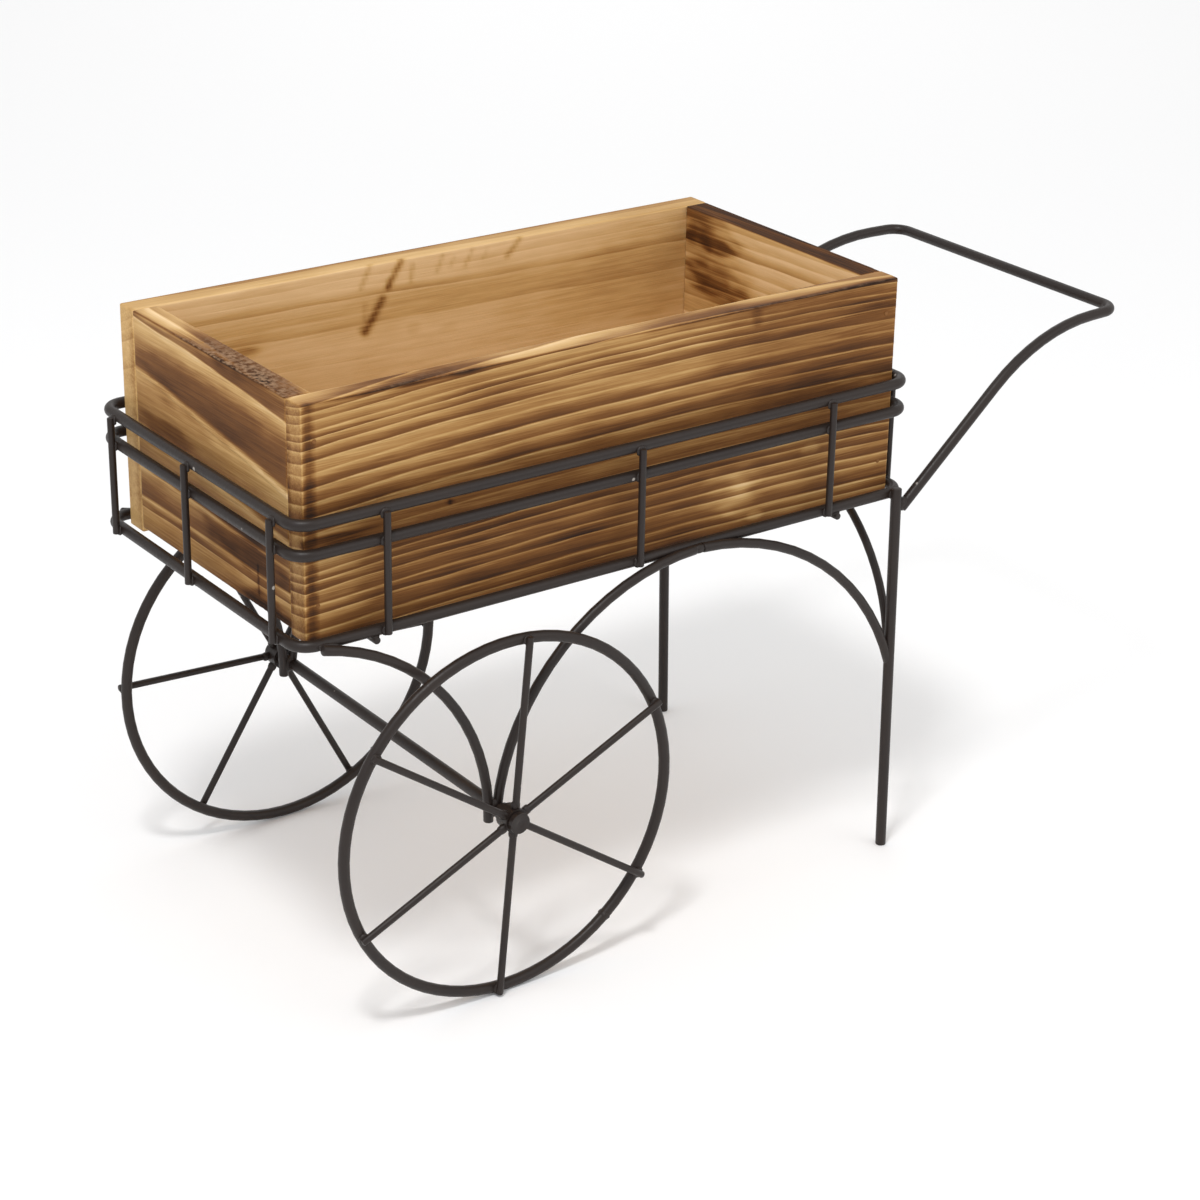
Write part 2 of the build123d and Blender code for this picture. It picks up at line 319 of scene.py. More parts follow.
low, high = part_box("rear_brace_left")
brace_radius = (high.y - low.y) / 2
brace_y = (low.y + high.y) / 2
for brace, ((centre_x, centre_z), radius, start, end) in BRACE_ARCS.items():
    outward = ray(math.radians(start))
    place = Vector((centre_x * MM, brace_y, centre_z * MM)) + outward * radius * MM
    heading = outward.cross(Y) * math.copysign(1, end - start)
    wire = BentWire(f"{brace}_left_wire", brace_radius, place, heading)
    wire.bend(-Y, math.radians(end - start), radius * MM)
    wires[f"{brace}_left"] = wire.cut()

wire = BentWire("cross_brace_left_wire", CROSS_BRACE_RADIUS, CROSS_BRACE_TOP, -Y)
wire.bend(X, math.pi / 2, CROSS_BRACE_BEND)
wires["cross_brace_left"] = wire.cut()
for brace in (*BRACE_ARCS, "cross_brace"):
    left_brace = wires[f"{brace}_left"]
    wires[f"{brace}_right"] = mirror(copied(left_brace, f"{brace}_right_wire"))
    print(brace, "pair", in_mm(left_brace.dimensions), "mm")

# %% [markdown]
# The handle is one wire. It rises from the left leg, bends level over a large peg, turns across as the grip
# over a small one, and comes back the same way to the right leg. Its arms run in a little towards the grip.
# Its corners are where the straight runs would meet, and each bend starts as far before its corner as its peg
# asks for.

# %% Handle
HANDLE_FOOT = Vector((89.05, -87.03, 173.5)) * MM
HANDLE_KNEE = Vector((173.02, -81.56, 241.5)) * MM
GRIP_CORNER = Vector((225.65, -78.13, 241.5)) * MM
HANDLE_BEND = 99 * MM
GRIP_BEND = 9 * MM

left_arm = [HANDLE_FOOT, HANDLE_KNEE, GRIP_CORNER]
right_arm = [Vector((corner.x, -corner.y, corner.z)) for corner in reversed(left_arm)]
corners = left_arm + right_arm
runs = [after - before for before, after in zip(corners, corners[1:])]
pegs = [HANDLE_BEND, GRIP_BEND, GRIP_BEND, HANDLE_BEND]
setbacks = [peg * math.tan(run.angle(next_run) / 2) for peg, run, next_run in zip(pegs, runs, runs[1:])]
wire = BentWire("handle_wire", leg_radius, HANDLE_FOOT, runs[0])
wire.feed(runs[0].length - setbacks[0])
for peg, run, setback, next_setback in zip(pegs, runs[1:], setbacks, (*setbacks[1:], 0)):
    wire.bend_to(run.normalized(), peg)
    wire.feed(run.length - setback - next_setback)
wires["handle"] = wire.cut()
print("handle", in_mm(wires["handle"].dimensions), "mm")

# %% [markdown]
# A wheel is a hoop, six spokes that lie on the hoop's outer face, and a turned hub. The hoop is a wire bent
# right round. One spoke is made level, copied and turned about the axle, and the right wheel's spokes are
# turned as seen from the left and then mirrored.

# %% Rims and spokes
RIM_SEAM = math.radians(-51.7)
SPOKES = 6
SPOKE_STEP = 360 / SPOKES
SPOKE_TURNS = {"left": 25.0, "right": 57.4}
SPOKE_START = 4.6 * MM
SPOKE_REACH = 83.6 * MM

low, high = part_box("rim_left")
rim_wire_radius = (high.y - low.y) / 2
rim_radius = (high.z - low.z) / 2 - rim_wire_radius
wheel_middle = middle("rim_left")
rim_seam = ray(RIM_SEAM)
wire = BentWire("rim_left_wire", rim_wire_radius, wheel_middle + rim_seam * rim_radius, rim_seam.cross(Y))
for _ in range(2):
    wire.bend(-Y, math.pi, rim_radius)
wires["rim_left"] = wire.close()
wires["rim_right"] = mirror(copied(wires["rim_left"], "rim_right_wire"))

low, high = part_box("spoke_left_1")
spoke_radius = (high.y - low.y) / 2
spoke_middle = Vector((wheel_middle.x, low.y + spoke_radius, wheel_middle.z))
wire = BentWire("spoke_wire", spoke_radius, spoke_middle + X * SPOKE_START, X)
wire.feed(SPOKE_REACH - SPOKE_START)
level_spoke = wire.cut()
for side, first_turn in SPOKE_TURNS.items():
    for number in range(SPOKES):
        node = f"spoke_{side}_{number + 1}"
        spoke = copied(level_spoke, f"{node}_wire")
        turn = Matrix.Rotation(math.radians(-first_turn - SPOKE_STEP * number), 4, "Y")
        spoke.matrix_world = Matrix.Translation(spoke_middle) @ turn @ Matrix.Translation(-spoke_middle)
        bpy.ops.object.transform_apply()
        wires[node] = spoke if side == "left" else mirror(spoke)
bpy.data.objects.remove(level_spoke)
print("wheels", round(2 * (rim_radius + rim_wire_radius) / MM, 1), "mm across,", SPOKES, "spokes each")

# %% [markdown]
# The hub and the cap on the axle's end are lathe work. A ring is extruded and scaled from one corner of the
# profile to the next, and a bevel then rounds the corners. The hub's last ring meets its first, which leaves
# a true bore for the axle, and the cap starts from the bottom of a blind one.

# %% A piece turned on the lathe
TURNED_SIDES = 40
TURNED_CREASE = math.radians(35)
ROUNDING_STEPS = 4


def select_ring(piece, centre, radius):
    """Select the edges of one ring of a turned piece."""
    bpy.ops.mesh.select_all(action="DESELECT")
    mesh = bmesh.from_edit_mesh(piece.data)
    for edge in mesh.edges:
        offsets = [vertex.co - centre for vertex in edge.verts]
        in_plane = all(abs(offset.y) < SAME_PLACE for offset in offsets)
        on_ring = all(abs(offset.length - radius) < SAME_PLACE for offset in offsets)
        edge.select_set(in_plane and on_ring)
    bmesh.update_edit_mesh(piece.data)


def turned(node, profile):
    """Turn a profile about the left wheel's axis, outwards from the node's inner end."""
    inner_end = Vector((wheel_middle.x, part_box(node)[1].y, wheel_middle.z))
    first_radius, first_along, _ = profile[0]
    bpy.ops.object.select_all(action="DESELECT")
    bpy.ops.mesh.primitive_circle_add(
        vertices=TURNED_SIDES,
        radius=first_radius * MM,
        fill_type="NOTHING" if profile[0] == profile[-1] else "NGON",
        location=inner_end - Y * first_along * MM,
        rotation=(math.pi / 2, 0, 0),
    )
    piece = bpy.context.object
    piece.name = f"{node}_turned"
    bpy.ops.object.transform_apply()
    bpy.ops.object.mode_set(mode="EDIT")
    bpy.ops.mesh.select_all(action="SELECT")
    for (radius, along, _), (next_radius, next_along, _) in zip(profile, profile[1:]):
        bpy.ops.mesh.extrude_region_move(TRANSFORM_OT_translate={"value": -Y * (next_along - along) * MM})
        grow = next_radius / radius
        bpy.ops.transform.resize(value=(grow, 1, grow), center_override=inner_end - Y * next_along * MM)
    for radius, along, rounding in profile:
        if rounding:
            select_ring(piece, inner_end - Y * along * MM, radius * MM)
            bpy.ops.mesh.bevel(offset=rounding * MM, segments=ROUNDING_STEPS, affect="EDGES")
    return closed_up(piece, TURNED_CREASE)


print("turned pieces have", TURNED_SIDES, "sides")

# %% Hubs and axle caps
# The corners of each profile: radius, distance from the piece's inner end, and rounding, in mm.
HUB_PROFILE = (
    (2.75, 0.0, 0),
    (3.9, 0.0, 0.3),
    (3.9, 3.8, 0.2),
    (5.6, 3.8, 0.6),
    (5.6, 11.4, 0.6),
    (2.75, 11.4, 0.2),
    (2.75, 0.0, 0),
)
CAP_PROFILE = (
    (2.7, 1.6, 0),
    (2.7, 0.0, 0),
    (4.7, 0.0, 0.35),
    (4.7, 2.4, 1.4),
    (1.75, 2.4, 0.15),
    (1.5, 2.25, 0.15),
    (0.6, 2.25, 0),
)

wires["hub_left"] = turned("hub_left", HUB_PROFILE)
wires["axle_cap_left"] = turned("axle_cap_left", CAP_PROFILE)
for node in ("hub", "axle_cap"):
    left_piece = wires[f"{node}_left"]
    wires[f"{node}_right"] = mirror(copied(left_piece, f"{node}_right_turned"))
    print(node, "pair", in_mm(left_piece.dimensions), "mm")

# %% [markdown]
# Each wire and each turned piece now takes the place of its plain solid. It moves with the solid's body, so a
# spoke turns with its wheel.

# %% Wires in place of their solids
def stands_for(piece, node):
    """The piece takes a node's place: it rides on the node's body and hides it."""
    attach(piece, frame["nodes"][node]["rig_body"])
    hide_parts(node)


for node, piece in wires.items():
    stands_for(piece, node)
print(len(wires), "wires and turned pieces in place")

# %% [markdown]
# Where two wires cross, a short weld holds them: a bead of metal that has run into the crook between them and
# frozen there, a little lumpy. One bead is made from a ball whose points are pushed about, and it is copied,
# stretched and turned for each joint. The beads of one body are joined into one piece, because nothing moves
# between them.

# %% A bead of weld
bpy.ops.object.select_all(action="DESELECT")
bpy.ops.mesh.primitive_ico_sphere_add(subdivisions=3, radius=1)
bead = bpy.context.object
bead.name = "weld_bead"
bpy.ops.object.mode_set(mode="EDIT")
bpy.ops.mesh.select_all(action="SELECT")
bpy.ops.transform.vertex_random(offset=0.13, normal=0.6, seed=4)
bpy.ops.mesh.vertices_smooth(factor=0.5, repeat=1)
bpy.ops.mesh.normals_make_consistent(inside=False)
bpy.ops.object.mode_set(mode="OBJECT")
bpy.ops.object.shade_smooth()


def welded(name, body, joints):
    """Beads at (place, size, turn about Y): places and half sizes in mm, turns in degrees."""
    beads = []
    for place, size, turn in joints:
        copy = copied(bead, name)
        copy.matrix_world = (
            Matrix.Translation(Vector(place) * MM)
            @ Matrix.Rotation(math.radians(turn), 4, "Y")
            @ Matrix.Diagonal((*(side * MM for side in size), 1))
        )
        beads.append(copy)
    bpy.ops.object.select_all(action="DESELECT")
    for copy in beads:
        copy.select_set(True)
    bpy.context.view_layer.objects.active = beads[0]
    bpy.ops.object.join()
    bpy.ops.object.transform_apply()
    piece = bpy.context.object
    piece.name = name
    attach(piece, body)
    print(name, len(joints), "beads")
    return piece


print("bead of", len(bead.data.polygons), "faces")

# %% Welds of the frame
# Places and half sizes in mm. The uprights' beads lie against the rails, a little lower on the top one.
BEAD_LENGTH, BEAD_DEPTH, BEAD_HEIGHT = 2.6, 1.1, 2.5
TOP_RAIL_DROP = 1.2
RAIL_SEAM_X = -222.75
RAIL_SEAM_BEAD = (2.6, 1.5, 2.6)
CROSS_WIRE_CROOK = (82.4, 177.6)
CROSS_WIRE_BEAD = (2.3, 2.5, 1.2)
# The other joints of one side, as welded() takes them.
SIDE_JOINTS = {
    "forward brace to bottom rail": ((-210.15, 84.8, 179.3), (5.5, 1.2, 1.7), 12),
    "rear and leg braces to bottom rail": ((-25.65, 84.8, 179.7), (7.0, 1.2, 1.8), 0),
    "rear brace to leg brace": ((-26.4, 86.8, 179.9), (3.4, 2.2, 2.2), 0),
    "forward and rear braces to axle": ((-132.85, 86.8, 84.8), (4.4, 2.6, 4.6), 0),
    "leg to bottom rail": ((85.45, 84.6, 180.2), (2.2, 1.6, 2.6), 0),
    "handle to leg": ((89.6, 87.0, 175.2), (4.2, 2.5, 3.4), 0),
    "leg brace to leg": ((87.2, 86.9, 97.6), (2.0, 2.0, 4.4), 6),
    "cross brace to leg": ((88.6, 85.2, 99.0), (1.6, 1.5, 3.6), 0),
    "cross brace to bottom rail": ((91.0, 4.5, 179.0), (1.4, 4.5, 1.4), 0),
}

frame_joints = []
for node in upright_nodes:
    side = node.split("_")[0]
    upright = middle(node) / MM
    for rail in RAILS:
        low, high = (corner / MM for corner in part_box(rail))
        height = (low.z + high.z) / 2 - (TOP_RAIL_DROP if rail == "top_rail" else 0)
        if side in ("left", "right"):
            place = (upright.x, low.y if side == "left" else high.y, height)
            frame_joints.append((place, (BEAD_LENGTH, BEAD_DEPTH, BEAD_HEIGHT), 0))
        else:
            place = (low.x if side == "front" else high.x, upright.y, height)
            frame_joints.append((place, (BEAD_DEPTH, BEAD_LENGTH, BEAD_HEIGHT), 0))
for rail in RAILS:
    frame_joints.append(((RAIL_SEAM_X, 0, middle(rail).z / MM), RAIL_SEAM_BEAD, 0))
crook_y, crook_z = CROSS_WIRE_CROOK
for sign in (-1, 1):
    for node in CROSS_WIRES:
        frame_joints.append(((middle(node).x / MM, sign * crook_y, crook_z), CROSS_WIRE_BEAD, 0))
    for (x, y, z), size, turn in SIDE_JOINTS.values():
        frame_joints.append(((x, sign * y, z), size, turn))
frame_welds = welded("frame_welds", "frame", frame_joints)

# %% Welds of the wheels
# Each spoke's beads: how far out they are from the axle and from the wagon's middle, and half sizes, in mm.
SPOKE_BEADS = {"at the rim": (81.7, 98.5, (2.5, 1.1, 2.6)), "at the hub": (6.6, 99.6, (2.8, 1.9, 2.2))}
RIM_SEAM_BEAD = (2.8, 3.1, 2.4)

wheel_welds = {}
for side, first_turn in SPOKE_TURNS.items():
    sign = -1 if side == "left" else 1
    centre = middle(f"rim_{side}") / MM
    joints = []
    for number in range(SPOKES):
        turn = first_turn + SPOKE_STEP * number
        for distance, bead_y, size in SPOKE_BEADS.values():
            place = centre + ray(math.radians(turn)) * distance
            joints.append(((place.x, sign * bead_y, place.z), size, -turn))
    seam = centre + rim_seam * rim_radius / MM
    joints.append((seam, RIM_SEAM_BEAD, -math.degrees(RIM_SEAM)))
    wheel_welds[side] = welded(f"wheel_{side}_welds", f"wheel_{side}", joints)
bpy.data.objects.remove(bead)

# %% [markdown]
# A finish is a chain of shader nodes. Colours are written as they look on a screen, and one function turns
# them into the linear values of the shader. One more function adds a node, sets it and links it, so that each
# finish reads as a list of its parts.

# %% Colours and nodes
def linear(hex_colour):
    """The shader's red, green, blue and opacity for a colour as it looks on a screen."""
    channels = [int(hex_colour[start : start + 2], 16) / 255 for start in (1, 3, 5)]
    return (*(c / 12.92 if c <= 0.04045 else ((c + 0.055) / 1.055) ** 2.4 for c in channels), 1)


def new_material(name):
    """A material with no nodes yet."""
    material = bpy.data.materials.new(name)
    material.use_nodes = True
    material.node_tree.nodes.clear()
    return material


def add_node(material, kind, inputs, **options):
    """Add a shader node. An input is a value, a node's output, or a node whose first output is meant."""
    node = material.node_tree.nodes.new(f"ShaderNode{kind}")
    for name, value in options.items():
        setattr(node, name, value)
    for name, value in inputs.items():
        if isinstance(value, bpy.types.Node):
            value = next(output for output in value.outputs if output.enabled)
        if isinstance(value, bpy.types.NodeSocket):
            material.node_tree.links.new(value, node.inputs[name])
        else:
            node.inputs[name].default_value = value
    return node


def dress(pieces, material):
    """Give pieces a finish in place of any that they had."""
    for piece in pieces:
        piece.data.materials.clear()
        piece.data.materials.append(material)
    print(material.name, "has", len(material.node_tree.nodes), "nodes, pieces dressed:", len(pieces))


print("mid grey is", round(linear("#808080")[0], 3), "to the shader")

# %% [markdown]
# The wire is powder coated: a dark brown-black paint that is melted on over wire, welds and all. It gives a
# satin skin with broad soft highlights, a faint orange-peel surface, and here and there a chip where the pale
# metal shows.

# %% Powder coat
COAT_PEEL = 1.1 * MM
PEEL_DEPTH = 0.06 * MM
COAT_CLOUD = 35 * MM
CHIP_SPACING = 18 * MM
# A chip is bare within the first of these distances from its middle, and coated beyond the second.
CHIP_INNER, CHIP_OUTER = 0.64 * MM, 1.04 * MM

coat = new_material("powder_coated_steel_wire")
place = add_node(coat, "TexCoord", {}).outputs["Object"]
peel = add_node(coat, "TexNoise", {"Vector": place, "Scale": 1 / COAT_PEEL, "Detail": 2})
cloud = add_node(coat, "TexNoise", {"Vector": place, "Scale": 1 / COAT_CLOUD, "Detail": 3})
coat_tones = {"Factor": cloud, "A": linear("#1d1614"), "B": linear("#2c221c")}
coat_tone = add_node(coat, "Mix", coat_tones, data_type="RGBA")
chip_cells = add_node(coat, "TexVoronoi", {"Vector": place, "Scale": 1 / CHIP_SPACING})
chip_range = {
    "Value": chip_cells,
    "From Min": CHIP_INNER / CHIP_SPACING,
    "From Max": CHIP_OUTER / CHIP_SPACING,
    "To Min": 1,
    "To Max": 0,
}
chips = add_node(coat, "MapRange", chip_range)
chipped_tones = {"Factor": chips, "A": coat_tone, "B": linear("#a19a92")}
coat_colour = add_node(coat, "Mix", chipped_tones, data_type="RGBA")
satin_range = {"Value": peel, "From Min": 0.3, "From Max": 0.7, "To Min": 0.36, "To Max": 0.50}
raised_peel = {"Height": peel, "Strength": 0.5, "Distance": PEEL_DEPTH}
coat_shader = add_node(
    coat,
    "BsdfPrincipled",
    {
        "Base Color": coat_colour,
        "Roughness": add_node(coat, "MapRange", satin_range),
        "Normal": add_node(coat, "Bump", raised_peel),
        "IOR": 1.5,
        "Specular IOR Level": 0.35,
    },
)
add_node(coat, "OutputMaterial", {"Surface": coat_shader})
dress([*wires.values(), frame_welds, *wheel_welds.values()], coat)

# %% [markdown]
# The boards of the box are soft pine. Each is sawn from a bar: a block of the right size, its edges eased,
# then cut into small faces, finer across the grain than along it, so that the brushed surface can follow the
# year rings. Subdividing only the edges that run one way cuts the block into slices, and two small cuts in
# turn give many of them.

# %% Blocks and slices
SAME_WAY = 0.999


def sliced(piece, axis, step):
    """Cut every edge that runs along the axis, twice over, into lengths of about step."""
    mesh = bmesh.from_edit_mesh(piece.data)
    longest = max(abs((edge.verts[0].co - edge.verts[1].co).dot(axis)) for edge in mesh.edges)
    cuts = max(2, round(math.sqrt(longest / step))) - 1
    for _ in range(2):
        mesh = bmesh.from_edit_mesh(piece.data)
        bpy.ops.mesh.select_all(action="DESELECT")
        for edge in mesh.edges:
            run = edge.verts[0].co - edge.verts[1].co
            edge.select_set(abs(run.dot(axis)) > SAME_WAY * run.length)
        bmesh.update_edit_mesh(piece.data)
        bpy.ops.mesh.subdivide(number_cuts=cuts)


def block(low, high):
    """A plain block between two corners, to be shaped or to cut with."""
    bpy.ops.object.select_all(action="DESELECT")
    bpy.ops.mesh.primitive_cube_add(size=1, location=(low + high) / 2)
    piece = bpy.context.object
    piece.scale = high - low
    bpy.ops.object.transform_apply()
    return piece


print("a slice cuts edges within", round(math.degrees(math.acos(SAME_WAY)), 1), "degrees of its axis")

# %% Boards sawn to size
BOARD_EASE = 0.8 * MM
EASE_STEPS = 3
THROUGH_STEP = 1.2 * MM
# How long the faces are along the grain, and how wide across it.
BOARD_STEPS = {
    "side_board_left": (1.5 * MM, 0.55 * MM),
    "side_board_right": (1.5 * MM, 0.75 * MM),
    "end_board_front": (1.2 * MM, 0.6 * MM),
    "end_board_rear": (1.5 * MM, 0.6 * MM),
}

boards = {}
for node, (along_step, across_step) in BOARD_STEPS.items():
    low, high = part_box(node)
    board_size = high - low
    piece = block(low, high)
    piece.name = f"{node}_pine"
    bpy.ops.object.mode_set(mode="EDIT")
    bpy.ops.mesh.select_mode(type="EDGE")
    bpy.ops.mesh.select_all(action="SELECT")
    bpy.ops.mesh.bevel(offset=BOARD_EASE, segments=EASE_STEPS, affect="EDGES")
    along, through = (X, Y) if board_size.x > board_size.y else (Y, X)
    sliced(piece, along, along_step)
    sliced(piece, Z, across_step)
    sliced(piece, through, THROUGH_STEP)
    bpy.ops.mesh.select_all(action="SELECT")
    bpy.ops.mesh.normals_make_consistent(inside=False)
    bpy.ops.object.mode_set(mode="OBJECT")
    boards[node] = piece
    print(piece.name, in_mm(board_size), "mm,", len(piece.data.polygons), "faces")

# %% [markdown]
# The floor of the box is let into a shallow rebate along the foot of each side board. A Boolean modifier cuts
# it with a block a hair larger than the floor. It comes after the slicing, because slices want plain
# four-sided faces.

# %% Rebates for the floor
REBATE_SLACK = Vector((0.05, 0.05, 0.05)) * MM

low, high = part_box("bottom_panel")
floor_block = block(low - REBATE_SLACK, high + REBATE_SLACK)
for node in ("side_board_left", "side_board_right"):
    bpy.context.view_layer.objects.active = boards[node]
    rebate = boards[node].modifiers.new("rebate", "BOOLEAN")
    rebate.object = floor_block
    bpy.ops.object.modifier_apply(modifier=rebate.name)
    print(node, "rebated,", len(boards[node].data.polygons), "faces")
bpy.data.objects.remove(floor_block)

# %% [markdown]
# A board shows its tree. A dark line ends each year's growth, and these lines sweep along the board with the
# stem and turn into arcs on its ends, round a pith that lies outside it. The count of rings at each vertex is
# kept as an attribute of the mesh. So are how dark its year ends and how far the torch went, from 0 for clean
# wood to 1 for char, with some painted shade of the rails added in. The relief and the colours both read
# them, so a dark line is also a proud one. A wood texture would give even lines, and these boards have broad
# and narrow years, so the lines and the stronger burns are placed one by one.

